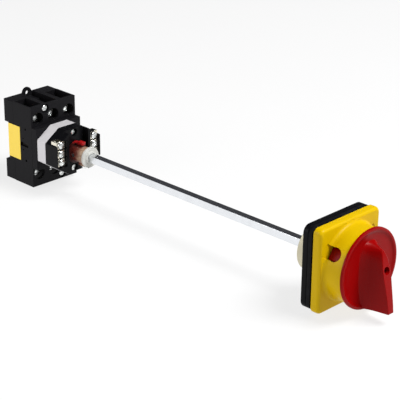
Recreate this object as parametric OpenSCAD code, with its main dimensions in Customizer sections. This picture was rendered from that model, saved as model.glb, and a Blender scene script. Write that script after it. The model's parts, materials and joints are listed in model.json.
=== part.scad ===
// Rotary isolator switch: a three-pole switch on a DIN rail, a long square shaft, and a
// padlockable handle for the cabinet door.
// X runs to the right, Y to the rear and Z up. The origin is the middle of the rail seat,
// on the axis of the shaft.

/* [Switch body] */
// Width of the switch body
body_w = 50.4; // [49:0.2:54]
// Height of the body above the shaft axis
body_top = 38.8; // [38:0.2:42]
// Height of the body below the shaft axis
body_bottom = 35.4; // [35:0.2:40]
// Distance between the centres of neighbouring poles
pole_pitch = 17.4; // [17.2:0.1:18]
// Thickness of the outer walls
wall = 1.8; // [1.6:0.1:2.2]

/* [Rail] */
// Height of the notch that takes a 35 mm rail
rail_notch = 35.4; // [35.3:0.1:35.8]
// Depth of the rail notch
rail_depth = 5; // [4.6:0.1:5.4]
// Travel of the rail latch when it is pulled down
latch_travel = 3; // [2:0.5:3]

/* [Octagonal stages] */
// Width across the left and right sides
stage_w = 49.4; // [48:0.2:49.6]
// Height of the octagon above the shaft axis
stage_top = 21.5; // [21:0.1:23]
// Height of the octagon below the shaft axis
stage_bottom = 18.5; // [18:0.1:20]
// Width of a corner bevel
bevel_w = 15.2; // [14:0.1:16]
// Height of a corner bevel
bevel_h = 10.4; // [9:0.1:11]

/* [Contacts] */
// Travel of the contact carriage from on to off
carriage_travel = 5; // [4:0.5:5]
// Angle of the handle from on to off
switch_angle = 90; // [60:15:90]

/* [Shaft] */
// Width of the square shaft
shaft_w = 6.5; // [6:0.1:6.6]
// Distance from the rail seat to the rear of the door unit
door_y = 352; // [200:1:400]

/* [Door unit] */
// Width and height of the yellow plate
plate_w = 68; // [66:0.5:70]
// Thickness of the yellow plate
plate_t = 7.7; // [7:0.1:8]
// Radius of the round collar on the plate
collar_r = 30; // [29.5:0.1:30.5]
// Radius of the red handle's dish
dish_r = 32; // [31.5:0.1:33]

/* [Hidden] */
$fn = 64;

far = 200;                         // longer than anything it cuts
fit = 0.05;                        // radial clearance of a running fit
seam_y = -7.8;                     // rear plate to terminal housing
face_y = -32.3;                    // front of the terminal housing
cover_y = -39;                     // front of the contact cover
mech_y = -50;                      // front of the mechanism stage
detent_y = -60;                    // front of the detent housing
aux_y = -66;                       // front of the auxiliary blocks
floor_y = seam_y - 1.5;            // inside of the terminal housing's rear wall
half_w = body_w / 2;
poles = [-pole_pitch, 0, pole_pitch];
terminal_z = [26.8, -23.3];        // height of the upper and lower clamping screws
pocket_w = pole_pitch - 5;         // width of a wire pocket
chamber_w = half_w - wall;         // half width of the contact chamber
chamber_h = 15.4;                  // half height of the contact chamber
cover_top = 20.5;
cover_bottom = 17.5;
housing_screw_at = [[-pole_pitch / 2, 34.6], [pole_pitch / 2, -31]];
tie_at = [17.5, -15.2];            // heights of the two tie screws
bar_y = -12.6;                     // rear face of the fixed contact bars
bar_t = 1.6;
tip_z = 11;                        // height of the silver tips
saddle_y = -24.4;                  // rear face of the saddles
drum_r = 7;
drum_y = [-47.6, -30.4];           // front and rear of the cam drum
journal_r = 5.5;
pin_r = 0.9;
pin_y = -38;                       // follower pins with the switch on
groove_w = 2 * pin_r + 0.3;
drive_w = 8;                       // square drive between drum, star and coupling
boss_r = 10.9;
coupling_r = 7.4;
flange_y = -79;                    // rear face of the coupling flange
shaft_y = -61.2;                   // rear end of the shaft
frame_t = 5;                       // clamp frame
gasket_t = 5;
hub_r = 18.5;                      // rear hub of the handle socket
hub_len = 18;
neck_r = 10;
frame_front = -door_y - frame_t;
plate_rear = frame_front - gasket_t;
plate_front = plate_rear - plate_t;
collar_front = plate_front - 16.6;
dish_rear = collar_front - 0.3;
dish_front = dish_rear - 2.6;
dish_floor = dish_rear - 1.2;
plate_screw_at = [for (sx = [-1, 1]) for (sz = [-1, 1]) [sx * 26, sz * 26]];
window_w = 10.4;                   // padlock window
window_len = 7.2;                  // its straight part
guard_r = 26.7;                    // the handle's drum, which closes the windows
window_angles = [31, 149];
aux_x = 18.7;                      // centre of the auxiliary terminals
aux_z = [11.2, 3.2, -4.8];
aux_in = 10.8;                     // inner side of the auxiliary blocks
aux_clamp_y = -63.4;               // front of the auxiliary clamps

// ---- helpers -------------------------------------------------------------

// A box from its lowest to its highest corner
module box(lo, hi) {
    translate(lo) cube(hi - lo);
}

// Draws its flat child in X and Z, and gives it depth towards the front from y
module front(y, depth) {
    translate([0, y, 0]) rotate([90, 0, 0]) linear_extrude(depth) children();
}

// A round rod that runs towards the front from y
module rod(x, z, r, y, depth) {
    translate([x, y, z]) rotate([90, 0, 0]) cylinder(r = r, h = depth);
}

// A square rod about the shaft axis
module square_rod(w, y, depth) {
    front(y, depth) square(w, center = true);
}

// A slab with rounded corners
module rounded_slab(w, r, y, depth) {
    s = w / 2 - r;
    front(y, depth) union() {
        square([w, w - 2 * r], center = true);
        square([w - 2 * r, w], center = true);
        for (sx = [-s, s]) for (sz = [-s, s]) translate([sx, sz]) circle(r);
    }
}

// The octagon of the stages, drawn smaller by inset on every side
module octagon(inset = 0) {
    w = stage_w / 2 - inset;
    t = stage_top - inset;
    b = stage_bottom - inset;
    bw = bevel_w - inset * 0.4;
    bh = bevel_h - inset * 0.4;
    polygon([[-w, -b + bh], [-w, t - bh], [-w + bw, t], [w - bw, t],
        [w, t - bh], [w, -b + bh], [w - bw, -b], [-w + bw, -b]]);
}

// A compression spring of round wire along +Z
module coil(radius, wire, length, turns) {
    sides = 6;
    steps = 12;
    n = turns * steps;
    pitch = (length - 2 * wire) / n;
    points = [for (i = [0:n]) for (j = [0:sides - 1])
        let (a = 360 * i / steps, b = 360 * j / sides, r = radius + wire * cos(b))
        [r * cos(a), r * sin(a), wire + pitch * i + wire * sin(b)]];
    skin = [for (i = [0:n - 1]) for (j = [0:sides - 1])
        let (k = (j + 1) % sides)
        each [[i * sides + j, (i + 1) * sides + k, i * sides + k],
            [i * sides + j, (i + 1) * sides + j, (i + 1) * sides + k]]];
    caps = [[for (j = [0:sides - 1]) j], [for (j = [sides - 1:-1:0]) n * sides + j]];
    polyhedron(points, concat(skin, caps));
}

// A pan-head screw that points to the rear, with a cross recess in its head
module pan_screw(x, z, head_r, head_y, head_t, shank_r, length) {
    difference() {
        union() {
            rod(x, z, head_r, head_y, head_t);
            rod(x, z, shank_r, head_y + length, length);
        }
        for (w = [[head_r * 1.3, 0.8], [0.8, head_r * 1.3]])
            box([x - w[0] / 2, head_y - head_t - 1, z - w[1] / 2],
                [x + w[0] / 2, head_y - head_t * 0.6, z + w[1] / 2]);
    }
}

// Each of the six terminals, upper ones first
module at_terminals() {
    for (p = poles) for (z = terminal_z) translate([p, 0, z]) children();
}

// ---- rear plate and rail latch -------------------------------------------

latch_w = 17.6;
latch_y = [1.2, 4.8];              // front and rear of the latch plate
latch_top = -rail_notch / 2 + 1.3; // tip of the latch hook
rib_y = [2.2, 3.4];
lug_z = 38.4;
lug_t = 2;
seat_h = 32.4;                     // height of the flat seat between the rail's lips
lug_hole_r = 1.7;
spring_z = [-31, -23];             // lower and upper end of the latch spring

module rail_base() color("#26262a") {
    difference() {
        union() {
            box([-half_w, seam_y, -body_bottom], [half_w, rail_depth, body_top]);
            rod(0, lug_z, 5, rail_depth, lug_t);
        }
        // rail notch, open at the rear, with two fixed hooks left at its top
        difference() {
            box([-far, 0, -rail_notch / 2], [far, far, rail_notch / 2]);
            box([-15, 1.4, rail_notch / 2 - 1.3], [15, far, far]);
        }
        // relief beside the seat, under the lips of the rail
        for (s = [0, 1]) mirror([0, 0, s])
            box([-far, -0.4, seat_h / 2], [far, 2, rail_notch / 2]);
        // mounting hole in the lug and the clearance in front of it
        rod(0, lug_z, lug_hole_r, far / 2, far);
        box([-6.2, seam_y - 1, 34.5], [6.2, rail_depth - lug_t, far]);
        // channel of the latch with its two side grooves
        box([-latch_w / 2 - 0.2, latch_y[0] - 0.2, -far], [latch_w / 2 + 0.2, far, 0]);
        box([-latch_w / 2 - 1.7, rib_y[0] - 0.2, -far], [latch_w / 2 + 1.7, rib_y[1] + 0.2, 0]);
        // pocket of the latch spring
        box([-2.6, -3.8, spring_z[0]], [2.6, 3, -20]);
        for (p = housing_screw_at) rod(p[0], p[1], 1.45, -3, far);
    }
}

module rail_latch() color("#3a3a3e") {
    difference() {
        union() {
            box([-latch_w / 2, latch_y[0], -body_bottom - 2.6], [latch_w / 2, latch_y[1], -20.2]);
            box([-latch_w / 2, latch_y[0] + 0.2, -20.2], [latch_w / 2, latch_y[1], latch_top]);
            box([-latch_w / 2 - 1.5, rib_y[0], -body_bottom], [latch_w / 2 + 1.5, rib_y[1], -19]);
            box([-2.2, -3.4, spring_z[1]], [2.2, latch_y[0], spring_z[1] + 2]);
        }
        // screwdriver slot in the pull tab
        box([-4, 2.2, -body_bottom - 2], [4, 3.4, -body_bottom + 3]);
    }
}

module latch_spring() color("#b8bcc2") {
    translate([0, -1.1, spring_z[0]]) coil(1.7, 0.35, spring_z[1] - spring_z[0], 6);
}

// ---- terminal housing ----------------------------------------------------

module terminal_pocket(z) {
    outward = sign(z);
    edge = z - outward * 4.8;
    hi = max(edge, edge + outward * far);
    lo = min(edge, edge + outward * far);
    difference() {
        box([-pocket_w / 2, -29.5, lo], [pocket_w / 2, seam_y + 1, hi]);
        // pad under the contact bar
        box([-far, bar_y, z - 5], [far, far, z + 5]);
    }
    rod(0, z, 6, -28, far);
    rod(0, z, 2.2, bar_y + 2.6, 5);
    box([-3.7, bar_y - bar_t - 0.1, min(z, 0)], [3.7, bar_y, max(z, 0)]);
}

module terminal_housing() color("#222226") {
    difference() {
        box([-half_w, face_y, -body_bottom], [half_w, seam_y, body_top]);
        difference() {
            box([-chamber_w, -far, -chamber_h], [chamber_w, floor_y, chamber_h]);
            // barriers between the poles, and the boss of the lower tie screw
            for (s = [-1, 1]) difference() {
                translate([s * pole_pitch / 2, 0, 0]) box([-0.6, -18, -far], [0.6, far, far]);
                box([-far, -far, -6.2], [far, far, 6.2]);
            }
            rod(0, tie_at[1], 2.6, -27.6, far);
        }
        for (p = poles) for (z = terminal_z) translate([p, 0, 0]) terminal_pocket(z);
        for (p = housing_screw_at) {
            rod(p[0], p[1], 1.6, 1, far);
            rod(p[0], p[1], 4, -29.8, far);
        }
        for (z = tie_at) rod(0, z, 1.5, -28, far);
        // snap holes for side-mounted extra poles
        for (z = [16.8, -12.6]) for (s = [-1, 1]) translate([s * half_w, -23.7, z])
            rotate([0, 90, 0]) cylinder(r = 1.1, h = 8, center = true);
        box([-far, -27, 0.4], [far, -16.6, 4.2]);
        for (z = [7.6, -2.8]) for (s = [-1, 1])
            translate([s * half_w, -20.3, z]) rotate([0, 90, 0])
                cylinder(r = 0.7, h = 2, center = true);
    }
}

module housing_screws() color("#c9ccd0") {
    for (p = housing_screw_at) pan_screw(p[0], p[1], 3.2, -29.8, 2.2, 1.4, 26);
}

// ---- fixed contacts and terminals ----------------------------------------

module fixed_contact(z) {
    outward = sign(z);
    ends = [outward * 8.4, z + outward * 4.4];
    difference() {
        union() {
            box([-3.5, bar_y - bar_t, min(ends)], [3.5, bar_y, max(ends)]);
            rod(0, outward * tip_z, 2.5, bar_y - bar_t, 1.2);
        }
        rod(0, z, 2, far / 2, far);
    }
}

module line_contacts() color("#b87333") {
    for (p = poles) translate([p, 0, 0]) fixed_contact(terminal_z[0]);
}

module load_contacts() color("#b87333") {
    for (p = poles) translate([p, 0, 0]) fixed_contact(terminal_z[1]);
}

module terminal_saddles() color("#c4c6c8") {
    at_terminals() difference() {
        union() {
            box([-4.8, saddle_y - 1.5, -4.2], [4.8, saddle_y, 4.2]);
            for (s = [-1, 1]) translate([s * 4.3, 0, 0])
                box([-0.5, saddle_y, -4.2], [0.5, saddle_y + 1.6, 4.2]);
        }
        rod(0, 0, 2.1, far / 2, far);
    }
}

module terminal_screws() color("#d0d2d4") {
    at_terminals() pan_screw(0, 0, 3.7, saddle_y - 1.5, 2.6, 2, 15.4);
}

// ---- contact cover -------------------------------------------------------

module contact_cover() color("#242428") {
    difference() {
        box([-half_w, cover_y, -cover_bottom], [half_w, face_y, cover_top]);
        difference() {
            box([-chamber_w, cover_y + 2, -chamber_h], [chamber_w, far, chamber_h]);
            rod(0, tie_at[1], 2.8, far / 2, far);
        }
        rod(0, 0, boss_r + 0.7, far / 2, far);
        for (z = tie_at) rod(0, z, 1.5, far / 2, far);
    }
}

// ---- moving contacts -----------------------------------------------------

plate_y = [-25.5, -18.5];          // front and rear of the carriage plate
bridge_y = -17;                    // rear face of the contact bridges
bridge_t = 1.2;
spring_seat = -23.6;               // bottom of the pockets of the bridge springs

module contact_carriage() color("#2a2624") {
    difference() {
        union() {
            box([-22.9, plate_y[0], -12.2], [22.9, plate_y[1], 12.2]);
            rod(0, 0, boss_r, plate_y[0], 15.5);
            // a yoke around each contact bridge
            for (p = poles) translate([p, 0, 0]) difference() {
                box([-5.8, plate_y[1] - 0.5, -2.8], [5.8, -14.9, 2.8]);
                box([-4.5, -far, -far], [4.5, -16.7, far]);
            }
        }
        rod(0, 0, drum_r + 0.1, plate_y[0] + 0.7, far);
        for (p = poles) rod(p, 0, 2.9, plate_y[1] + 1, plate_y[1] + 1 - spring_seat);
        for (s = [0, 1]) mirror([s, 0, 0]) translate([drum_r - 1, pin_y, 0])
            rotate([0, 90, 0]) cylinder(r = pin_r, h = 10);
    }
}

module contact_bridges() color("#c07a3e") {
    for (p = poles) translate([p, 0, 0]) {
        box([-3.2, bridge_y - bridge_t, -13.6], [3.2, bridge_y, 13.6]);
        for (s = [-1, 1]) rod(0, s * tip_z, 2.3, bridge_y + 1.5, 1.5);
    }
}

module bridge_springs() color("#b8bcc2") {
    for (p = poles) translate([p, bridge_y - bridge_t, 0]) rotate([90, 0, 0])
        coil(2.2, 0.4, bridge_y - bridge_t - spring_seat, 4);
}

module follower_pins() color("#d0d2d4") {
    for (s = [0, 1]) mirror([s, 0, 0]) translate([drum_r - 1.6, pin_y, 0])
        rotate([0, 90, 0]) cylinder(r = pin_r, h = boss_r - drum_r + 1.5);
}

// ---- rotor ---------------------------------------------------------------

// One screw groove: it runs forward by the carriage travel over the switching angle
module cam_groove() {
    spare = 1.3;
    reach = carriage_travel + 2 * spare;
    lead = atan(carriage_travel / (2 * PI * drum_r * switch_angle / 360));
    half_a = groove_w / sin(lead) / 2 / drum_r * 180 / PI;
    per_mm = switch_angle / carriage_travel;
    translate([0, pin_y + spare, 0]) rotate([90, 0, 0])
        rotate([0, 0, spare * per_mm])
            linear_extrude(reach, twist = reach * per_mm, slices = 14)
                polygon([for (c = [[-1, -1.7], [1, -1.7], [1, 2], [-1, 2]])
                    (drum_r + c[1]) * [cos(c[0] * half_a), sin(c[0] * half_a)]]);
}

module cam_drum() color("#d8d2c0") {
    difference() {
        rod(0, 0, drum_r, drum_y[1], drum_y[1] - drum_y[0]);
        for (a = [0, 180]) rotate([0, -a, 0]) cam_groove();
    }
    rod(0, 0, journal_r, drum_y[0], 2.8);
    square_rod(drive_w, drum_y[0] - 2.8, 9.4);
}

module detent_star() color("#d8d2c0") {
    front(-51, 4) difference() {
        circle(9);
        for (a = [0:90:270]) rotate(a) translate([10, 0]) circle(2);
        square(drive_w, center = true);
    }
}

module shaft_coupling() color("#7a4436") {
    difference() {
        union() {
            rod(0, 0, coupling_r, -56.4, -56.4 - flange_y);
            box([-3.6, -77, -9.2], [3.6, -69, -4]);
        }
        square_rod(drive_w, -55, 5);
        square_rod(shaft_w + 0.1, shaft_y + 0.2, far);
        translate([-far, aux_y, 0]) rotate([0, 90, 0]) cylinder(r = 1.9, h = 2 * far);
        translate([0, -73, -far]) cylinder(r = 1.8, h = far);
    }
}

module position_flag() color("#7c1a18") {
    difference() {
        union() {
            rod(0, 0, 9.8, -60.6, 2.4);
            box([-2, aux_y - 0.4, 7], [2, -60.6, 10]);
            box([-2, -72.4, 7.6], [2, aux_y - 0.4, 11.6]);
        }
        rod(0, 0, coupling_r, 0, far);
    }
}

module coupling_flange() color("#d6d5d0") {
    difference() {
        union() {
            rod(0, 0, 9.2, flange_y, 2.2);
            rod(0, 0, 5.8, flange_y, 3.4);
        }
        square_rod(shaft_w + 0.1, 0, far);
    }
}

module roll_pin() color("#e2e2de") {
    difference() {
        translate([-7.1, aux_y, 0]) rotate([0, 90, 0]) cylinder(r = 1.9, h = 14.2);
        translate([-10, aux_y, 0]) rotate([0, 90, 0]) cylinder(r = 0.9, h = 20);
    }
}

module clamp_screw() color("#d0d2d4") {
    difference() {
        union() {
            translate([0, -73, -10.2]) cylinder(r = 1.8, h = 10.2 - shaft_w / 2 - 0.1);
            translate([0, -73, -11.6]) cylinder(r = 2.9, h = 2.2);
        }
        box([-0.5, -80, -12], [0.5, -66, -10.8]);
    }
}

module drive_shaft() color("#c9ccd0") {
    difference() {
        union() {
            square_rod(shaft_w, shaft_y, door_y + 21.4 + shaft_y);
            square_rod(shaft_w - 1, -door_y - 21, 1);
        }
        translate([-far, aux_y, 0]) rotate([0, 90, 0]) cylinder(r = 1.95, h = 2 * far);
    }
}

// ---- octagonal stages ----------------------------------------------------

module mechanism_stage() color("#232327") {
    difference() {
        front(cover_y, cover_y - mech_y) octagon(0.3);
        rod(0, 0, boss_r + 1.6, 0, 48);
        rod(0, 0, journal_r + fit, 0, far);
        for (z = tie_at) rod(0, z, 1.6, 0, far);
    }
}

module stage_label() color("#c3c5c8") {
    difference() {
        front(cover_y - 0.2, cover_y - mech_y - 0.3) octagon();
        front(0, far) octagon(0.3);
    }
}

plunger_y = -53;
tie_seat = -56.3;

module detent_housing() color("#232327") {
    difference() {
        front(mech_y, mech_y - detent_y) octagon(0.1);
        rod(0, 0, 10.5, 0, 56);
        rod(0, 0, coupling_r + fit, 0, far);
        translate([-21.2, plunger_y, 0]) rotate([0, 90, 0]) cylinder(r = 2.4, h = 42.4);
        for (z = tie_at) {
            rod(0, z, 1.6, 0, far);
            rod(0, z, 3.5, tie_seat, far);
        }
        for (s = [-1, 1]) translate([s * aux_x, 0, 0])
            box([-5.2, -far, -9], [5.2, -56.8, 15.5]);
    }
}

module detent_plungers() color("#d0d2d4") {
    for (s = [0, 1]) mirror([s, 0, 0]) translate([10.75, plunger_y, 0]) {
        rotate([0, 90, 0]) cylinder(r = 2.3, h = 4.4);
        sphere(r = 1.6);
    }
}

module detent_springs() color("#b8bcc2") {
    for (s = [0, 1]) mirror([s, 0, 0]) translate([15.2, plunger_y, 0]) rotate([0, 90, 0])
        coil(1.8, 0.35, 5.9, 4);
}

// The left auxiliary block; the right one is its mirror image
module aux_block() {
    difference() {
        front(detent_y, detent_y - aux_y) intersection() {
            octagon();
            translate([-far - aux_in, -far]) square([far, 2 * far]);
        }
        translate([-aux_x, 0, 0]) box([-5.2, -far, -9], [5.2, 0, 15.5]);
    }
    // ribs between the terminals
    for (i = [0, 1]) translate([-aux_x, 0, (aux_z[i] + aux_z[i + 1]) / 2])
        box([-5.2, detent_y - 4.2, -0.4], [5.2, detent_y, 0.4]);
}

module aux_block_left() color("#26262a") aux_block();

module aux_block_right() color("#26262a") mirror([1, 0, 0]) aux_block();

module at_aux() {
    for (s = [-1, 1]) for (z = aux_z) translate([s * aux_x, 0, z]) children();
}

module aux_clamps() color("#c9b98a") {
    at_aux() difference() {
        box([-4.8, aux_clamp_y, -3.5], [4.8, -56.8, 3.5]);
        box([-3.6, aux_clamp_y + 1.2, -far], [3.6, -58, far]);
        rod(0, 0, 1.7, 0, far);
    }
}

module aux_screws() color("#d0d2d4") {
    at_aux() pan_screw(0, 0, 3.2, aux_clamp_y, 2.2, 1.6, 5.2);
}

module tie_screws() color("#c9ccd0") {
    for (z = tie_at) pan_screw(0, z, 3.1, tie_seat, 2.2, 1.4, 28);
}

module side_label() color("#e0b800") {
    box([-half_w - 0.25, -16.3, -13.6], [-half_w, -0.3, 17.4]);
}

// ---- door unit -----------------------------------------------------------

module clamp_frame() color("#1d1d20") {
    difference() {
        rounded_slab(plate_w - 0.8, 5, -door_y, frame_t);
        rod(0, 0, 12, 0, 2 * door_y);
        for (p = plate_screw_at) {
            rod(p[0], p[1], 1.7, 0, 2 * door_y);
            rod(p[0], p[1], 3.4, 0, door_y + 2.6);
        }
    }
}

module seal_gasket() color("#151516") {
    difference() {
        rounded_slab(plate_w - 0.8, 5, frame_front, gasket_t);
        rod(0, 0, 12, 0, 2 * door_y);
        for (p = plate_screw_at) rod(p[0], p[1], 1.7, 0, 2 * door_y);
    }
}

module padlock_window(r_in, r_out) {
    depth = r_out - r_in;
    translate([r_in, plate_front + 0.6 - window_len, 0]) {
        translate([0, 0, -window_w / 2]) cube([depth, window_len, window_w]);
        rotate([0, 90, 0]) cylinder(r = window_w / 2, h = depth);
    }
}

module escutcheon() color("#e3b900") {
    difference() {
        union() {
            rounded_slab(plate_w, 4, plate_rear, plate_t - 1.5);
            rounded_slab(plate_w - 1.6, 3.4, plate_rear, plate_t);
            rod(0, 0, collar_r, plate_rear, plate_rear - collar_front);
        }
        // space behind the plate and space for the handle's drum
        difference() {
            rounded_slab(plate_w - 5, 4, 0, -plate_rear + 4.5);
            for (p = plate_screw_at) rod(p[0], p[1], 4, 0, 2 * door_y);
            rod(0, 0, 16, 0, 2 * door_y);
        }
        difference() {
            rod(0, 0, collar_r - 2.6, plate_front + 0.6, far);
            rod(0, 0, 13, 0, -dish_rear - 1);
        }
        rod(0, 0, neck_r + fit, 0, 2 * door_y);
        rod(0, 0, 13.2, 0, -plate_rear + 2.4);
        for (p = plate_screw_at) rod(p[0], p[1], 1.4, 0, -plate_rear + 6);
        for (a = window_angles) rotate([0, -a, 0]) padlock_window(collar_r - 4, collar_r + 4);
    }
}

module plate_screws() color("#c9ccd0") {
    for (p = plate_screw_at) translate([p[0], 0, p[1]]) {
        rod(0, 0, 1.35, -door_y - 2.6, 12.6);
        difference() {
            rod(0, 0, 3, -door_y - 0.4, 2.2);
            box([-2, -door_y - 1.3, -0.4], [2, 0, 0.4]);
        }
    }
}

module handle_socket() color("#ddd6c4") {
    difference() {
        union() {
            rod(0, 0, hub_r, -door_y + hub_len, hub_len - 0.2);
            rod(0, 0, neck_r, -door_y + 1, -dish_rear - door_y + 0.6);
            square_rod(12, dish_rear + 0.4, 2);
        }
        square_rod(shaft_w + 0.3, 0, door_y + 26);
        // funnel that leads the shaft in
        translate([0, -door_y + hub_len + 0.01, 0]) rotate([90, 0, 0])
            cylinder(r1 = 11, r2 = 4.9, h = 7);
        // recess for the retaining ring and the seal
        difference() {
            rod(0, 0, far, plate_rear - 0.9, 1.1);
            rod(0, 0, neck_r - 1.2, 0, 2 * door_y);
        }
        difference() {
            rod(0, 0, far, plate_front - 6, 2.2);
            rod(0, 0, neck_r - 2, 0, 2 * door_y);
        }
        rod(0, screw_z, 1.65, dish_rear + 5.8, far);
    }
}

module shaft_seal() color("#121214") {
    translate([0, plate_front - 7.1, 0]) rotate([90, 0, 0])
        rotate_extrude() translate([neck_r - 1, 0]) circle(0.98);
}

module retaining_ring() color("#8f9297") {
    front(plate_rear - 1, 0.9) difference() {
        circle(neck_r + 2);
        circle(neck_r - 1.2);
        translate([0, far / 2]) square([5, far], center = true);
    }
}

// Half width, depth and height along the front strip of the grip, top to bottom
strip = [[0.3, -399.2, 17.4], [2.2, -401.2, 13.6], [4.0, -403.6, 4], [3.8, -405.2, -4],
    [3.0, -406.8, -12], [2.9, -410, -26.6]];
grip_foot = [[2.6, 22.6], [6.4, 20.6], [8.8, 14], [9.2, 6], [9.2, -10], [7, -25], [4.6, -31.4]];
strip_round = 0.9;
screw_z = 3.6;                     // height of the handle screw

module handle() color("#c01818") {
    difference() {
        union() {
            // dish with its raised rim
            rotate([90, 0, 0]) rotate_extrude() polygon([[0, -dish_rear], [dish_r - 0.6, -dish_rear],
                [dish_r, -dish_rear + 0.6], [dish_r, -dish_front - 0.8], [dish_r - 1, -dish_front],
                [dish_r - 2.6, -dish_front], [dish_r - 4.2, -dish_floor], [0, -dish_floor]]);
            difference() {
                rod(0, 0, guard_r, plate_front - 0.4, -dish_rear + plate_front + 0.4);
                rod(0, 0, guard_r - 2.4, 0, 2 * door_y);
                // the drum opens at the padlock windows when the switch is off
                for (a = window_angles) rotate([0, switch_angle - a, 0])
                    padlock_window(guard_r - 5, guard_r + 1);
            }
            hull() {
                front(dish_rear - 0.2, 1.6) polygon(concat(grip_foot,
                    [for (i = [len(grip_foot) - 1:-1:0]) [-grip_foot[i][0], grip_foot[i][1]]]));
                for (p = strip) for (s = [-1, 1])
                    translate([s * p[0], p[1] + door_y - 352, p[2]]) sphere(strip_round, $fn = 16);
            }
        }
        square_rod(12.1, 0, -dish_rear + 1.8);
        rod(0, screw_z, 1.8, 0, far * 4);
        rod(0, screw_z, 2.9, dish_rear - 5.2, far);
    }
}

module handle_screw() color("#8f9297") {
    pan_screw(0, screw_z, 2.7, dish_rear - 5.2, 2.4, 1.6, 10.5);
}

// ---- shown parts ---------------------------------------------------------

rail_base();
rail_latch();
latch_spring();
terminal_housing();
housing_screws();
line_contacts();
load_contacts();
terminal_saddles();
terminal_screws();
contact_cover();
contact_carriage();
contact_bridges();
bridge_springs();
follower_pins();
mechanism_stage();
stage_label();
detent_housing();
detent_plungers();
detent_springs();
aux_block_left();
aux_block_right();
aux_clamps();
aux_screws();
tie_screws();
side_label();
cam_drum();
detent_star();
position_flag();
shaft_coupling();
roll_pin();
clamp_screw();
coupling_flange();
drive_shaft();
clamp_frame();
seal_gasket();
escutcheon();
plate_screws();
handle_socket();
shaft_seal();
retaining_ring();
handle();
handle_screw();
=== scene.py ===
# %% [markdown]
# # A rotary isolator switch, from the rail to the cabinet door
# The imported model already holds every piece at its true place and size. What it lacks is what a
# mould, a press and a plating bath leave behind: rounded edges, grain, streaks and shine.
# This lesson adds those, piece by piece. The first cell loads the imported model, and keeps its
# box, because the finished object has to stay inside it.

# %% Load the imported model
import json
import math

import bmesh
import bpy
from mathutils import Matrix, Vector


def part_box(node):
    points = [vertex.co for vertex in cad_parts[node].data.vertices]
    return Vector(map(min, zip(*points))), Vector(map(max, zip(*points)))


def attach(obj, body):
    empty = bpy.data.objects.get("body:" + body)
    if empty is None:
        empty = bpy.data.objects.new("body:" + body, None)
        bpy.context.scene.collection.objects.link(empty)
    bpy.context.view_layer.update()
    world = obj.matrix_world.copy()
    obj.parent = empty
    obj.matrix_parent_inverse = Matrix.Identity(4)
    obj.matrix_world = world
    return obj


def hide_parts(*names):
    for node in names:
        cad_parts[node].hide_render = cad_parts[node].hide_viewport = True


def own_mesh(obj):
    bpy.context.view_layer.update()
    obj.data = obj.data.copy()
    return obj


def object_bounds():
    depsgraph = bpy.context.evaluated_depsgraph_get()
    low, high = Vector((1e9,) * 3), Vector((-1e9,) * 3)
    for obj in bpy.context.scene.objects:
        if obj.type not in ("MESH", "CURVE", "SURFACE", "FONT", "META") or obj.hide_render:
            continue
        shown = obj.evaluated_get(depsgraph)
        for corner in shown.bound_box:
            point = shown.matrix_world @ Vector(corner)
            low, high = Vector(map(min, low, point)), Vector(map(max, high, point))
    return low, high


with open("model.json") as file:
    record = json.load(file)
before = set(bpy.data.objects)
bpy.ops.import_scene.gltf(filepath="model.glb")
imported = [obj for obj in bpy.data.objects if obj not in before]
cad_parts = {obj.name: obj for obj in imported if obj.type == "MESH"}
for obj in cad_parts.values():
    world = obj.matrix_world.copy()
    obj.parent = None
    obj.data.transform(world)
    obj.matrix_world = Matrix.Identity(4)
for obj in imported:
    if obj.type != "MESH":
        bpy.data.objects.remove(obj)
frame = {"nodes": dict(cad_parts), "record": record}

MM = 0.001
nodes = frame["nodes"]
body_of = {n: b for b, names in frame["record"]["behaviour"]["bodies"].items() for n in names}
slot_of = {row["node"]: row["material_slot"] for row in frame["record"]["subparts"]}
cad_low, cad_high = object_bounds()
print("box in mm:", [round(v / MM, 1) for v in cad_high - cad_low])

# %% [markdown]
# ## Camera
# The switch lies far from the lens and the handle close to it, so perspective matters. The
# camera could be placed by eye, but three angles, a distance and two offsets say the same
# thing more plainly: it stands to the left, in front and above, and looks along a slope.

# %% Camera
YAW, PITCH, ROLL = -45.53, 23.21, 0.54
DISTANCE, ASIDE, BELOW = 1339.2 * MM, 155.8 * MM, 61.1 * MM


def camera_axes(yaw, pitch, roll):
    """Right, up and back of a camera that is turned by three angles in degrees."""
    a, e, r = (math.radians(v) for v in (yaw, pitch, roll))
    back = Vector((math.sin(a) * math.cos(e), -math.cos(a) * math.cos(e), math.sin(e)))
    right = Vector((math.cos(a), math.sin(a), 0))
    up = back.cross(right)
    return math.cos(r) * right + math.sin(r) * up, math.cos(r) * up - math.sin(r) * right, back


right, up, back = camera_axes(YAW, PITCH, ROLL)
lens = bpy.data.cameras.new("studio_lens")
lens.lens = 133.5
lens.clip_end = 20
camera = bpy.data.objects.new("studio_camera", lens)
camera.location = ASIDE * right - BELOW * up + DISTANCE * back + Vector((0, 5 * MM, 0))
camera.rotation_euler = Matrix((right, up, back)).transposed().to_euler()
bpy.context.scene.collection.objects.link(camera)
bpy.context.scene.camera = camera
print("camera at", [round(v, 3) for v in camera.location])

# %% [markdown]
# ## Shader sums that read like sums
# A material's pattern is arithmetic on sockets. Node by node it is hard to read, so one small
# class wraps a socket and lets Python's own operators add the nodes. Numbers go through Math
# nodes; colours and vectors go through Vector Math, because a Math node would turn them grey.

# %% Sockets as numbers


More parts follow.
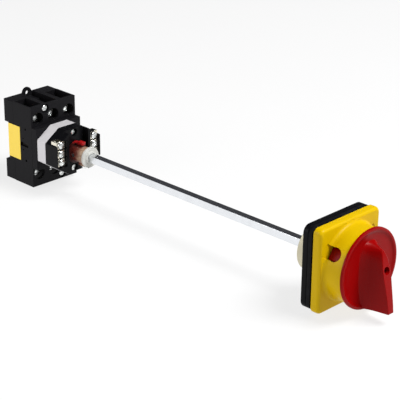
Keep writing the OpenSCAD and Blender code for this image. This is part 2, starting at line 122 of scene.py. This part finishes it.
class Signal:
    """The output of a shader node, which takes part in sums as a number would."""

    def __init__(self, paint, socket):
        self.paint = paint
        self.socket = socket

    def sum_with(self, operation, first, second):
        wide = any(
            isinstance(v, tuple) or (isinstance(v, Signal) and v.socket.type != "VALUE")
            for v in (first, second)
        )
        kind = "ShaderNodeVectorMath" if wide else "ShaderNodeMath"
        return self.paint.node(kind, {"operation": operation}, {0: first, 1: second})

    def __add__(self, other):
        return self.sum_with("ADD", self, other)

    def __radd__(self, other):
        return self.sum_with("ADD", other, self)

    def __sub__(self, other):
        return self.sum_with("SUBTRACT", self, other)

    def __rsub__(self, other):
        return self.sum_with("SUBTRACT", other, self)

    def __mul__(self, other):
        return self.sum_with("MULTIPLY", self, other)

    def __rmul__(self, other):
        return self.sum_with("MULTIPLY", other, self)


class Paint:
    """A material under construction."""

    def __init__(self, name, **constants):
        self.material = bpy.data.materials.new(name)
        self.material.use_nodes = True
        self.tree = self.material.node_tree
        self.shader = self.tree.nodes["Principled BSDF"]
        for socket, value in constants.items():
            self.feed(self.shader.inputs[socket.replace("_", " ")], value)

    def feed(self, socket, value):
        """Links a signal to a socket, or sets the socket to a number, a vector or a colour."""
        if isinstance(value, Signal):
            self.tree.links.new(value.socket, socket)
        elif socket.type == "RGBA":
            socket.default_value = (*value, 1)
        elif socket.type == "VECTOR" and not isinstance(value, tuple):
            socket.default_value = (value, value, value)
        else:
            socket.default_value = value

    def node(self, kind, settings=None, inputs=None, output=0):
        """Adds a node, sets what it is, feeds its sockets and returns one output."""
        made = self.tree.nodes.new(kind)
        for key, value in (settings or {}).items():
            if key == "stops":
                for stop, (place, colour) in zip(made.color_ramp.elements, value):
                    stop.position = place
                    stop.color = (*colour, 1)
            else:
                setattr(made, key, value)
        for key, value in (inputs or {}).items():
            self.feed(made.inputs[key], value)
        return Signal(self, made.outputs[output])

    def surface(self, **sockets):
        """Feeds the main shader: surface(Base_Color=..., Roughness=...)."""
        for socket, value in sockets.items():
            self.feed(self.shader.inputs[socket.replace("_", " ")], value)
        return self.material


sample = Paint("sample")
print("a sum of sockets is a", type(1 - sample.node("ShaderNodeTexNoise") * 0.5).__name__)
bpy.data.materials.remove(sample.material)

# %% [markdown]
# ## Patterns every finish shares
# The patterns are measured in millimetres, so that a grain of 0.3 really is 0.3 mm wide. The
# edge mask compares the true normal with one that a Bevel node rounds off: where they differ,
# there is an edge. Edges are what hands, trays and other parts wear first, and the finishes
# paint them lighter, partly as that wear and partly as a painted highlight.

# %% Shared patterns


def millimetres(paint):
    """Position on the object in millimetres."""
    return paint.node("ShaderNodeTexCoord", output="Object") * 1000


def cloud(paint, where, size, detail=2, output=0):
    """Soft blotches about size millimetres across, from 0 to 1."""
    return paint.node(
        "ShaderNodeTexNoise",
        inputs={"Vector": where, "Scale": 1 / size, "Detail": detail},
        output=output,
    )


def between(paint, signal, low, high):
    """0 below low, 1 above high, and a smooth step between them."""
    return paint.node(
        "ShaderNodeMapRange",
        {"interpolation_type": "SMOOTHSTEP"},
        {"Value": signal, "From Min": low, "From Max": high},
    )


def mix(paint, share, first, second):
    """The first colour where share is 0, the second where it is 1."""
    return paint.node(
        "ShaderNodeMix", {"data_type": "RGBA"}, {0: share, 6: first, 7: second}, output=2
    )


def edges(paint, radius):
    """About 1 along an edge and 0 away from it; radius is in millimetres."""
    rounded = paint.node("ShaderNodeBevel", {"samples": 4}, {"Radius": radius * MM})
    true = paint.node("ShaderNodeNewGeometry", output="Normal")
    match = paint.node(
        "ShaderNodeVectorMath", {"operation": "DOT_PRODUCT"}, {0: rounded, 1: true}, output="Value"
    )
    return between(paint, 1 - match, 0.02, 0.3)


def relief(paint, height, depth, strength=1.0):
    """A normal that stands for bumps depth millimetres high."""
    return paint.node(
        "ShaderNodeBump", inputs={"Height": height, "Strength": strength, "Distance": depth * MM}
    )


# %% [markdown]
# ## Moulded plastics
# Most of the switch is injection moulded. Such a surface is never one flat colour: the pigment
# drifts a little, the spark-eroded mould leaves a fine grain, and edges polish to a smoother
# line that is painted lighter, partly as wear and partly as a painted highlight. One recipe
# covers all of them, with the colour and the grain as its settings.

# %% Moulded plastics


def moulded(name, colour, roughness, gloss=0.3, grain=0.35, depth=0.012, drift=0.12, wear_and_highlight=0.25):
    """Plastic with drifting pigment, fine grain, and polished edges painted lighter as wear and as
    a painted highlight.
    """
    paint = Paint(name, IOR=1.5, Specular_IOR_Level=gloss)
    where = millimetres(paint)
    slow = cloud(paint, where, 11, 3)
    fine = cloud(paint, where, grain, 1)
    edge = edges(paint, 0.5)
    # Edges are painted lighter: partly rubbing wear, partly a painted highlight.
    lighter = tuple(min(1, c * 1.6 + 0.01) for c in colour)
    body = mix(paint, wear_and_highlight * edge, colour, lighter)
    tint = 1 + drift * (slow - 0.5) + drift * 0.5 * (fine - 0.5)
    return paint.surface(
        Base_Color=body * tint,
        Roughness=roughness + 0.12 * (slow - 0.5) + 0.1 * (fine - 0.5) - 0.12 * edge,
        Normal=relief(paint, fine, depth),
    )


BLACK = (0.0075, 0.0072, 0.0085)
finishes = {
    "body_plastic": moulded("body_plastic", BLACK, 0.42, 0.07, grain=0.4, depth=0.02),
    "latch_plastic": moulded("latch_plastic", (0.009, 0.009, 0.010), 0.45, 0.1),
    "stage_plastic": moulded("stage_plastic", (0.004, 0.004, 0.005), 0.3, 0.08),
    "frame_black": moulded("frame_black", (0.003, 0.003, 0.004), 0.4, 0.07),
    "carriage_plastic": moulded("carriage_plastic", (0.010, 0.008, 0.007), 0.5, 0.2),
    "cream_plastic": moulded("cream_plastic", (0.66, 0.61, 0.44), 0.42, drift=0.1),
    "flange_plastic": moulded("flange_plastic", (0.50, 0.50, 0.47), 0.34, drift=0.14),
    "plate_yellow": moulded(
        "plate_yellow", (0.60, 0.39, 0.0005), 0.36, 0.09, grain=0.5, depth=0.01, drift=0.06
    ),
    "handle_red": moulded(
        "handle_red", (0.25, 0.0008, 0.001), 0.3, 0.08, grain=0.5, depth=0.01, drift=0.1
    ),
}
print(len(finishes), "plastics")

# %% [markdown]
# ## Coupling, position flag and gasket
# The coupling is a glass-filled nylon whose colour runs from brick red at the switch to
# straw at its front, so its colour follows the length as well as a cloud. The flag is bright
# red only at its tab; below the tab's height it is coloured a dark red. The gasket is rubber:
# rougher than the plastics, with a dusty bloom.

# %% Coupling, flag and gasket


def brick_to_straw_nylon():
    """Brick red at the rear, straw at the front, with blotches between."""
    paint = Paint("coupling_plastic", IOR=1.53)
    where = millimetres(paint)
    along = paint.node("ShaderNodeSeparateXYZ", inputs={0: where}, output="Y")
    blotch = cloud(paint, where, 4, 3)
    # The colour changes along the length: brick red towards the switch, straw towards the front.
    share = between(paint, -1 * along + 16 * (blotch - 0.5), 66, 80)
    colour = mix(paint, share, (0.12, 0.018, 0.012), (0.40, 0.28, 0.19))
    fine = cloud(paint, where, 0.3, 1)
    return paint.surface(
        Base_Color=colour * (0.9 + 0.2 * fine),
        Roughness=0.34 + 0.2 * (blotch - 0.5),
        Normal=relief(paint, fine, 0.012),
    )


def dark_ring_flag():
    """Dark red near the shaft, bright red at the tab."""
    paint = Paint("flag_red", IOR=1.5, Specular_IOR_Level=0.3)
    where = millimetres(paint)
    height = paint.node("ShaderNodeSeparateXYZ", inputs={0: where}, output="Z")
    blotch = cloud(paint, where, 3, 2)
    # The red is darker below the tab's height; the blotch makes that line uneven.
    tab_share = between(paint, height + 2 * (blotch - 0.5), 8.4, 10)
    return paint.surface(
        Base_Color=mix(paint, tab_share, (0.035, 0.005, 0.004), (0.34, 0.007, 0.008)),
        Roughness=0.3 + 0.2 * (blotch - 0.5),
    )


def bloomed_rubber():
    """Black rubber with a faint grey bloom."""
    paint = Paint("gasket_rubber", IOR=1.52, Specular_IOR_Level=0.08)
    where = millimetres(paint)
    bloom = cloud(paint, where, 6, 4)
    fine = cloud(paint, where, 0.25, 1)
    dusty = between(paint, bloom, 0.45, 0.8)
    colour = mix(paint, dusty, (0.003, 0.003, 0.004), (0.010, 0.010, 0.012))
    return paint.surface(
        Base_Color=colour,
        Roughness=0.6 + 0.2 * (bloom - 0.5),
        Normal=relief(paint, fine, 0.02),
    )


finishes["coupling_plastic"] = brick_to_straw_nylon()
finishes["flag_red"] = dark_ring_flag()
finishes["gasket_rubber"] = bloomed_rubber()
print(len(finishes), "finishes so far")

# %% [markdown]
# ## Metals
# The metals differ mainly in how they were made. Drawn bar has streaks along its length, wire
# and pins have finer ones, zinc plating has a faint bluish cloud, and stamped copper keeps the
# marks of the rolls. A stretched noise gives the streaks: it is sampled on a position that is
# squeezed along the metal.

# %% Metals


def streaked_metal(name, colour, roughness, squeeze=(1, 1, 1), size=0.4, stain=0.15, depth=0.004):
    """Metal with streaks along the axes that squeeze makes small."""
    paint = Paint(name, Metallic=1.0)
    where = millimetres(paint)
    streak = cloud(paint, where * squeeze, size, 2)
    slow = cloud(paint, where, 7, 3)
    edge = edges(paint, 0.25)
    tint = 1 + stain * (slow - 0.5) + stain * 0.8 * (streak - 0.5)
    # Edges are painted lighter, partly as wear and partly as a painted highlight.
    return paint.surface(
        Base_Color=mix(paint, 0.5 * edge, colour, tuple(min(1, c * 1.25) for c in colour)) * tint,
        Roughness=roughness + 0.16 * (streak - 0.5) + 0.1 * (slow - 0.5),
        Normal=relief(paint, streak, depth),
    )


ALONG_Y = (1, 0.02, 1)
finishes |= {
    "shaft_steel": streaked_metal("shaft_steel", (0.80, 0.82, 0.85), 0.18, ALONG_Y, 0.25),
    "pin_steel": streaked_metal("pin_steel", (0.62, 0.62, 0.64), 0.25),
    "spring_steel": streaked_metal("spring_steel", (0.50, 0.51, 0.53), 0.3),
    "zinc_screw": streaked_metal("zinc_screw", (0.84, 0.86, 0.85), 0.26, size=0.3),
    "roll_pin_steel": streaked_metal("roll_pin_steel", (0.88, 0.88, 0.86), 0.28),
    "handle_screw_steel": streaked_metal("handle_screw_steel", (0.22, 0.20, 0.20), 0.38),
    "contact_copper": streaked_metal("contact_copper", (0.80, 0.42, 0.24), 0.3, (0.1, 1, 1)),
    "terminal_metal": streaked_metal("terminal_metal", (0.86, 0.82, 0.70), 0.26, (1, 1, 0.2)),
}
print(sorted(finishes))

# %% [markdown]
# ## Printed films
# Two films carry print on the real switch. Here they stay free of lettering: a plain yellow
# film and a plain silver-grey one. What makes them look like film is the thin varnish on top
# and the faint ripple of the glue beneath, so both have a coat and a slow relief.

# %% Printed films


def film(name, colour, roughness, metallic=0.0):
    """A varnished film glued to a moulding."""
    paint = Paint(name, Metallic=metallic, Coat_Roughness=0.2)
    where = millimetres(paint)
    ripple = cloud(paint, where, 5, 2)
    dots = cloud(paint, where, 0.3, 1)
    return paint.surface(
        Base_Color=colour * (0.96 + 0.08 * ripple + 0.06 * (dots - 0.5)),
        Roughness=roughness + 0.1 * (dots - 0.5),
        Coat_Weight=0.25 + 0.1 * ripple,
        Normal=relief(paint, ripple, 0.05),
    )


finishes["label_yellow"] = film("label_yellow", (0.92, 0.66, 0.05), 0.38)
finishes["label_silver"] = film("label_silver", (0.60, 0.585, 0.60), 0.42, 0.1)
missing = set(slot_of.values()) - set(finishes)
print("finishes:", len(finishes), "missing:", sorted(missing))

# %% [markdown]
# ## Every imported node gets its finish
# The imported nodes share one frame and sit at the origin, so a finish can be handed out by name.
# Pieces made later stand in for most of them. The rest are shown as they are: the terminal
# housing, the screws of plate and handle, and pieces of the mechanism inside.

# %% Hand out the finishes
for node, shown in nodes.items():
    shown.data.materials.clear()
    shown.data.materials.append(finishes[slot_of[node]])
print("painted", len(nodes), "nodes")

# %% [markdown]
# ## From a mesh to a piece
# Each new piece goes through the same steps: it becomes an object, its faces are shaded smooth
# except across sharp edges, it takes its finish, and it rides on the body of the node that it
# stands for. Weighted normals keep the large flat faces flat beside rounded edges.

# %% Make a piece


def make_piece(name, shape, node, sharp=32):
    """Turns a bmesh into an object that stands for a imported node."""
    mesh = bpy.data.meshes.new(name)
    shape.to_mesh(mesh)
    shape.free()
    mesh.shade_smooth()
    mesh.set_sharp_from_angle(angle=math.radians(sharp))
    made = bpy.data.objects.new(name, mesh)
    bpy.context.scene.collection.objects.link(made)
    made.modifiers.new("flat_faces", "WEIGHTED_NORMAL").keep_sharp = True
    mesh.materials.append(finishes[slot_of[node]])
    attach(made, body_of[node])
    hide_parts(node)
    return made


# %% [markdown]
# ## Rounded edges
# Nothing moulded or stamped has a knife edge, and it is the light on a rounded edge that makes a
# part look real. The imported meshes are triangles, so their flat faces are first dissolved into
# single faces. Then only the true edges, where the surface turns sharply, are bevelled. The
# terminal housing is left as imported: its front is one face with many round holes, and such a
# face doesn't come out of the joining cleanly.

# %% Round the edges of a node


def true_faces(node):
    """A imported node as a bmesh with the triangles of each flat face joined."""
    shape = bmesh.new()
    shape.from_mesh(nodes[node].data)
    bmesh.ops.remove_doubles(shape, verts=shape.verts, dist=0.004 * MM)
    bmesh.ops.dissolve_limit(
        shape, angle_limit=math.radians(0.6), verts=shape.verts, edges=shape.edges
    )
    return shape


def round_edges(shape, radius, steps=2, turn=34):
    """Bevels the edges where the surface turns by more than turn degrees."""
    crisp = [
        e for e in shape.edges
        if e.is_manifold and e.calc_face_angle(0) > math.radians(turn)
    ]
    bmesh.ops.bevel(
        shape, geom=crisp, offset=radius * MM, segments=steps, profile=0.5,
        affect="EDGES", clamp_overlap=False, miter_outer="ARC",
    )
    return shape


def soften(node, radius):
    """A rounded copy that stands for the node."""
    shape = round_edges(true_faces(node), radius)
    return make_piece(node + "_soft", shape, node)


rounding = {
    "rail_base": 0.4, "contact_cover": 0.3, "mechanism_stage": 0.2,
    "detent_housing": 0.2, "aux_block_left": 0.25, "aux_block_right": 0.25, "rail_latch": 0.25,
    "stage_label": 0.08, "side_label": 0.06, "terminal_saddles": 0.15, "aux_clamps": 0.15,
    "position_flag": 0.3, "shaft_coupling": 0.4, "coupling_flange": 0.4, "roll_pin": 0.2,
    "clamp_screw": 0.2, "drive_shaft": 0.35, "handle_socket": 0.4, "contact_carriage": 0.15,
}
for node, radius in rounding.items():
    made = soften(node, radius)
    print(made.name, len(made.data.polygons), "faces")

# %% [markdown]
# ## The latch spring
# The latch's spring stands on the rear plate, and the latch presses on its top when it is pulled
# down. A copy of the imported coil stands for it, with a mesh of its own.

# %% Latch spring
coil = bmesh.new()
coil.from_mesh(nodes["latch_spring"].data)
spring = make_piece("sprung_coil", coil, "latch_spring", sharp=60)
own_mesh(spring)

# %% [markdown]
# ## Rings that change shape
# The yellow plate starts as a rounded square and ends as a round collar. A lathe can't make
# that, but a skin over closed rings can: each ring is a rounded square or a circle at its own
# depth, sampled at the same angles, and neighbouring rings are joined by quads.

# %% Skins over rings


def rounded_square(half, corner):
    """Distance from the centre to the outline of a rounded square, as a function of angle."""

    def reach(angle):
        c, s = abs(math.cos(angle)), abs(math.sin(angle))
        c, s = max(c, s), min(c, s)
        flat = half - corner
        if s * half <= flat * c:
            return half / c
        return flat * (c + s) + math.sqrt(max(0, corner**2 - (flat * (c - s)) ** 2))

    return reach


def circle(radius):
    """The same for a circle."""
    return lambda angle: radius


def skin(rings, sides=360):
    """A closed surface over rings of (reach, depth); the last ring joins the first."""
    shape = bmesh.new()
    grid = []
    for reach, depth in rings:
        row = []
        for i in range(sides):
            a = math.tau * i / sides
            r = reach(a) * MM
            row.append(shape.verts.new((r * math.cos(a), depth * MM, r * math.sin(a))))
        grid.append(row)
    for inner, outer in zip(grid, grid[1:] + grid[:1]):
        for i in range(sides):
            j = (i + 1) % sides
            shape.faces.new((inner[i], inner[j], outer[j], outer[i]))
    bmesh.ops.recalc_face_normals(shape, faces=shape.faces)
    return shape


def joined(first, second, operation):
    """Adds or takes away one closed shape from another."""
    held = []
    for shape in (first, second):
        mesh = bpy.data.meshes.new("workpiece")
        shape.to_mesh(mesh)
        shape.free()
        held.append(bpy.data.objects.new("workpiece", mesh))
        bpy.context.scene.collection.objects.link(held[-1])
    cut = held[0].modifiers.new("cut", "BOOLEAN")
    cut.operation, cut.solver, cut.object = operation, "EXACT", held[1]
    cut_mesh = held[0].evaluated_get(bpy.context.evaluated_depsgraph_get()).to_mesh()
    result = bmesh.new()
    result.from_mesh(cut_mesh)
    for o in held:
        bpy.data.objects.remove(o)
    bmesh.ops.remove_doubles(result, verts=result.verts, dist=0.003 * MM)
    return result


# %% [markdown]
# ## The yellow door plate
# The plate is a shallow square tray with soft edges, and its collar flares where it meets the
# front. Two D-shaped windows take a padlock. The windows are cut out of the finished skin,
# because they go through the collar's wall, and their rims are then rounded.

# %% Door plate
plate_low, plate_high = (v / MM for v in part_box("escutcheon"))
rear, top = plate_high.y, plate_low.y
plate_t = 7.7
front = rear - plate_t
half = plate_high.x
collar, bore, drum_gap = 30.0, 10.05, 27.4
rear_recess, hub = 13.2, 13
WINDOW_ANGLES = (31, 149)
plate_rings = [
    (circle(rear_recess), rear),
    (rounded_square(half - 0.7, 4), rear),
    (rounded_square(half - 0.15, 4.4), rear - 0.2),
    (rounded_square(half, 4.5), rear - 0.8),
    (rounded_square(half, 4.5), front + 2.6),
    (rounded_square(half - 0.25, 4.4), front + 1.5),
    (rounded_square(half - 0.9, 4.0), front + 0.6),
    (rounded_square(half - 1.8, 3.2), front + 0.1),
    (rounded_square(half - 2.3, 2.8), front),
    (circle(collar + 2.7), front - 0.02),
    (circle(collar + 1.8), front - 0.3),
    (circle(collar + 1.0), front - 0.9),
    (circle(collar + 0.4), front - 1.8),
    (circle(collar + 0.1), front - 3.1),
    (circle(collar), front - 4.6),
    (circle(collar), top + 0.9),
    (circle(collar - 0.2), top + 0.3),
    (circle(collar - 0.8), top),
    (circle(drum_gap + 0.5), top),
    (circle(drum_gap), top + 0.5),
    (circle(drum_gap), front + 0.6),
    (circle(hub), front + 0.6),
    (circle(hub), top + 0.7),
    (circle(bore), top + 0.7),
    (circle(bore), rear - 2.4),
    (circle(rear_recess), rear - 2.4),
]


def padlock_window(angle, inner, outer, width=10.4, straight=7.2):
    """A D-shaped prism that points outwards at an angle from the shaft."""
    shape = bmesh.new()
    w = width / 2
    outline = [(front + 0.6, -w), (front + 0.6, w)]
    outline += [
        (front + 0.6 - straight - w * math.sin(t), w * math.cos(t))
        for t in [math.pi * i / 16 for i in range(17)]
    ]
    ends = []
    for r in (inner, outer):
        ends.append([shape.verts.new((r * MM, y * MM, z * MM)) for y, z in outline])
        shape.faces.new(ends[-1])
    for i in range(len(outline)):
        j = (i + 1) % len(outline)
        shape.faces.new((ends[0][i], ends[0][j], ends[1][j], ends[1][i]))
    bmesh.ops.recalc_face_normals(shape, faces=shape.faces)
    shape.transform(Matrix.Rotation(-math.radians(angle), 4, "Y"))
    return shape


plate = skin(plate_rings)
for angle in WINDOW_ANGLES:
    plate = joined(plate, padlock_window(angle, collar - 4, collar + 4), "DIFFERENCE")
door_plate = make_piece("door_plate", round_edges(plate, 0.3, 2, 50), "escutcheon")
print("door plate:", len(door_plate.data.polygons), "faces")

# %% [markdown]
# ## Frame and gasket behind the plate
# Behind the yellow plate sit two black layers with rounder corners: the gasket and the clamp
# frame. The same rings make both. The gasket steps in just behind the plate, which leaves the
# dark line that is seen all round.

# %% Frame and gasket
LAYER_HOLE = 12


def ring_plate(node, corner, edge, step=0.0, sides=288):
    """A rounded square with a round hole; step sets its front edge back."""
    low, high = (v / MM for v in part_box(node))
    half = high.x
    return skin(
        [
            (circle(LAYER_HOLE), high.y),
            (rounded_square(half - edge, corner), high.y),
            (rounded_square(half - edge * 0.3, corner), high.y - edge * 0.3),
            (rounded_square(half, corner), high.y - edge),
            (rounded_square(half, corner), low.y + edge + 1.2 * step),
            (rounded_square(half - edge * 0.3, corner), low.y + edge * 0.3 + 1.2 * step),
            (rounded_square(half - edge - step, corner), low.y + 1.2 * step),
            (rounded_square(half - edge - step, corner), low.y),
            (circle(LAYER_HOLE), low.y),
        ],
        sides,
    )


frame_shape = ring_plate("clamp_frame", 6, 0.7)
make_piece("rear_frame", frame_shape, "clamp_frame")
make_piece("rubber_gasket", ring_plate("seal_gasket", 6, 0.6, step=0.9), "seal_gasket")
print("frame and gasket are in place")

# %% [markdown]
# ## The red handle
# The handle is one moulding: a dish with a raised rim, a drum behind it that closes the padlock
# windows, and a tall grip. Dish and drum are turned rings. The grip is a skin over sections
# from its top to its foot; each section has a narrow front, slightly hollow flanks and a wide
# foot in the dish. Joining the two and rounding the seam gives the moulded look.

# %% Red handle
dish_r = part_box("handle")[1].x / MM
dish_rear, guard = top - 0.3, 26.7
dish = [
    (circle(0.4), dish_rear - 0.97),
    (circle(14), dish_rear - 1.0),
    (circle(24), dish_rear - 1.15),
    (circle(dish_r - 4.8), dish_rear - 1.35),
    (circle(dish_r - 3.7), dish_rear - 1.75),
    (circle(dish_r - 2.9), dish_rear - 2.3),
    (circle(dish_r - 2.1), dish_rear - 2.6),
    (circle(dish_r - 1.1), dish_rear - 2.6),
    (circle(dish_r - 0.3), dish_rear - 2.3),
    (circle(dish_r), dish_rear - 1.7),
    (circle(dish_r), dish_rear - 0.5),
    (circle(dish_r - 0.4), dish_rear),
    (circle(guard), dish_rear),
    (circle(guard), front - 0.4),
    (circle(guard - 2.4), front - 0.4),
    (circle(guard - 2.4), dish_rear),
    (circle(0.4), dish_rear),
]
grip_sections = [
    # height at the foot and at the front, half width at both, depth of the front
    (22.4, 18.4, 0.4, 0.2, -399.5),
    (22.0, 18.2, 2.6, 0.7, -399.7),
    (21.0, 17.6, 4.6, 1.2, -400.1),
    (19.4, 16.6, 6.3, 1.7, -400.6),
    (17.2, 15.0, 7.6, 2.2, -401.3),
    (14.4, 12.8, 8.6, 2.8, -402.1),
    (11.0, 10.0, 9.1, 3.5, -402.9),
    (6.0, 5.8, 9.4, 4.2, -404.0),
    (1.0, 1.2, 9.4, 4.5, -405.1),
    (-5.0, -4.4, 9.2, 4.2, -406.2),
    (-11.0, -10.2, 8.7, 3.7, -407.5),
    (-18.0, -16.9, 7.7, 3.4, -408.8),
    (-25.0, -23.3, 6.3, 3.2, -409.9),
    (-31.0, -29.2, 4.8, 3.1, -410.6),
]
FLANK_STEPS, FLARE = 8, 2.4
QUARTER_TURN = 90
AHEAD = -430  # a depth in front of the whole grip


def grip_section(shape, foot_z, front_z, half_foot, half_front, depth):
    """One closed outline of the grip, from its left foot round the front to its right foot."""
    foot = dish_rear - 0.5
    flank = []
    for i in range(FLANK_STEPS + 1):
        t = i / FLANK_STEPS
        x = half_front + (half_foot - half_front) * (1 - t) ** 1.3 + FLARE * (1 - t) ** 7
        flank.append((x, foot + (depth - foot) * t, foot_z + (front_z - foot_z) * t))
    points = [(-x, y, z) for x, y, z in flank] + list(reversed(flank))
    return [shape.verts.new(Vector(point) * MM) for point in points]


grip = bmesh.new()
rows = [grip_section(grip, *section) for section in grip_sections]
for upper, lower in zip(rows, rows[1:]):
    for i in range(len(upper)):
        j = (i + 1) % len(upper)
        grip.faces.new((upper[i], upper[j], lower[j], lower[i]))
grip.faces.new(rows[0])
grip.faces.new(rows[-1])
bmesh.ops.recalc_face_normals(grip, faces=grip.faces)

handle_shape = joined(skin(dish, 256), round_edges(grip, 0.4, 3, 40), "UNION")
screw_z = (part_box("handle_screw")[0].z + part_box("handle_screw")[1].z) / 2
for reach, deep in ((1.8, dish_rear + 0.5), (2.9, dish_rear - 5.2)):
    tool = skin([(circle(0.01), deep), (circle(reach), deep), (circle(reach), AHEAD),
                 (circle(0.01), AHEAD)], 48)
    tool.transform(Matrix.Translation((0, 0, screw_z)))
    handle_shape = joined(handle_shape, tool, "DIFFERENCE")
for angle in WINDOW_ANGLES:
    cut = padlock_window(angle - QUARTER_TURN, guard - 5, guard + 1)
    handle_shape = joined(handle_shape, cut, "DIFFERENCE")
red_handle = make_piece("red_handle", round_edges(handle_shape, 0.25, 2, 48), "handle")
print("red handle:", len(red_handle.data.polygons), "faces")

# %% [markdown]
# ## Screws
# A pan-head screw has a domed head with a cross recess. One head is turned as rings, the cross is
# cut once, and the result is copied to each place, which is how identical screws stay identical.

# %% Screws


def pan_screw(head_r, head_t, shank_r, length):
    """A screw along +Y with the underside of its head at 0; the head points to -Y."""
    dome = [
        (circle(head_r * math.cos(t)), -head_t * (0.35 + 0.65 * math.sin(t)))
        for t in [math.pi / 2 * i / 6 for i in range(6)]
    ]
    shape = skin(
        [(circle(0.01), length), (circle(shank_r - 0.3), length), (circle(shank_r), length - 0.4),
         (circle(shank_r), 0), (circle(head_r - 0.1), 0), (circle(head_r), -0.15 * head_t)]
        + dome + [(circle(0.01), -head_t)],
        40,
    )
    for wide, tall in ((head_r * 1.25, head_r * 0.24), (head_r * 0.24, head_r * 1.25)):
        slot_cut = bmesh.new()
        bmesh.ops.create_cube(slot_cut, size=1)
        slot_cut.transform(Matrix.Translation((0, -head_t * MM, 0)) @ Matrix.Diagonal(
            (wide * MM, head_t * 1.1 * MM, tall * MM, 1)))
        shape = joined(shape, slot_cut, "DIFFERENCE")
    return shape


def copies(shape, places, turns=(0,)):
    """The same shape at each place, each copy turned about Y by the next angle in degrees."""
    all_of_them = bmesh.new()
    for i, place in enumerate(places):
        one = bpy.data.meshes.new("one")
        shape.to_mesh(one)
        turn = Matrix.Rotation(math.radians(turns[i % len(turns)]), 4, "Y")
        one.transform(Matrix.Translation(Vector(place) * MM) @ turn)
        all_of_them.from_mesh(one)
    shape.free()
    return all_of_them


def spread(low, high, count):
    """Evenly spaced numbers from low to high."""
    return [low + (high - low) * i / max(1, count - 1) for i in range(count)]


def screw_set(node, head_r, head_t, shank_r, columns, rows, diagonal=False):
    """Domed screws at the places of the node's plain ones, read from the node's box."""
    low, high = (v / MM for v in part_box(node))
    seat = low.y + head_t
    xs = spread(low.x + head_r, high.x - head_r, columns)
    zs = spread(high.z - head_r, low.z + head_r, rows)
    places = [(x, seat, z) for i, x in enumerate(xs) for j, z in enumerate(zs)
              if not diagonal or i == j]
    shape = pan_screw(head_r, head_t, shank_r, high.y - seat)
    print(node, len(shape.faces), "faces each")
    made = make_piece(node + "_domed", copies(shape, places, SCREW_TURNS), node)
    print(made.name, "x", len(places))


SCREW_TURNS = (12, 47, 80, 31, 64, 5)
screw_set("housing_screws", 3.2, 2.2, 1.4, 2, 2, diagonal=True)
screw_set("terminal_screws", 3.7, 2.6, 2.0, 3, 2)
screw_set("aux_screws", 3.2, 2.2, 1.6, 2, 3)
screw_set("tie_screws", 3.1, 2.2, 1.4, 1, 2)

# %% [markdown]
# ## Floor and light
# The switch lies on a white sweep in soft light. One large lamp above and to the right models
# the shapes, a weaker one from the left opens the shadows, and the surroundings are bright low
# down and dark high up, which gives the square shaft its one dark and one bright face.

# %% Floor and light


def sweep():
    """A large pale floor under the lowest point of the object."""
    flat = bmesh.new()
    bmesh.ops.create_grid(flat, x_segments=1, y_segments=1, size=12)
    mesh = bpy.data.meshes.new("floor")
    flat.to_mesh(mesh)
    flat.free()
    paint = Paint("floor_white", Emission_Color=(1, 1, 1), Emission_Strength=0.78, Roughness=0.9)
    where = millimetres(paint)
    grey = 0.15 + 0.01 * cloud(paint, where, 160, 2)
    paint.surface(Base_Color=(1, 1, 1) * grey)
    mesh.materials.append(paint.material)
    floor = bpy.data.objects.new("floor", mesh)
    floor.location.z = cad_low.z - 0.5 * MM
    bpy.context.scene.collection.objects.link(floor)


def lamp(name, place, target, size, power):
    """A square soft lamp that looks at a target."""
    light = bpy.data.lights.new(name, "AREA")
    light.shape, light.size, light.energy = "SQUARE", size, power
    made = bpy.data.objects.new(name, light)
    made.location = place
    made.rotation_euler = (Vector(place) - Vector(target)).to_track_quat("Z", "Y").to_euler()
    bpy.context.scene.collection.objects.link(made)


def surroundings():
    """Bright at the horizon and below, darker overhead."""
    world = bpy.data.worlds.new("studio")
    bpy.context.scene.world = world
    world.use_nodes = True
    tree = world.node_tree
    where = tree.nodes.new("ShaderNodeTexCoord")
    split = tree.nodes.new("ShaderNodeSeparateXYZ")
    ramp = tree.nodes.new("ShaderNodeValToRGB")
    low, high = ramp.color_ramp.elements
    low.position, low.color = 0.02, (0.9, 0.9, 0.9, 1)
    high.position, high.color = 0.2, (0.05, 0.05, 0.055, 1)
    tree.links.new(where.outputs["Generated"], split.inputs[0])
    tree.links.new(split.outputs["Z"], ramp.inputs[0])
    tree.links.new(ramp.outputs[0], tree.nodes["Background"].inputs["Color"])


middle = (cad_low + cad_high) / 2
sweep()
surroundings()
lamp("key", middle + Vector((0.5, -0.9, 1.5)), middle, 0.9, 50)
lamp("fill", Vector((-0.6, 0.02, 0.25)), Vector((0, -0.03, 0)), 0.4, 2.2)
bpy.context.scene.view_settings.view_transform = "Standard"
print("lit")
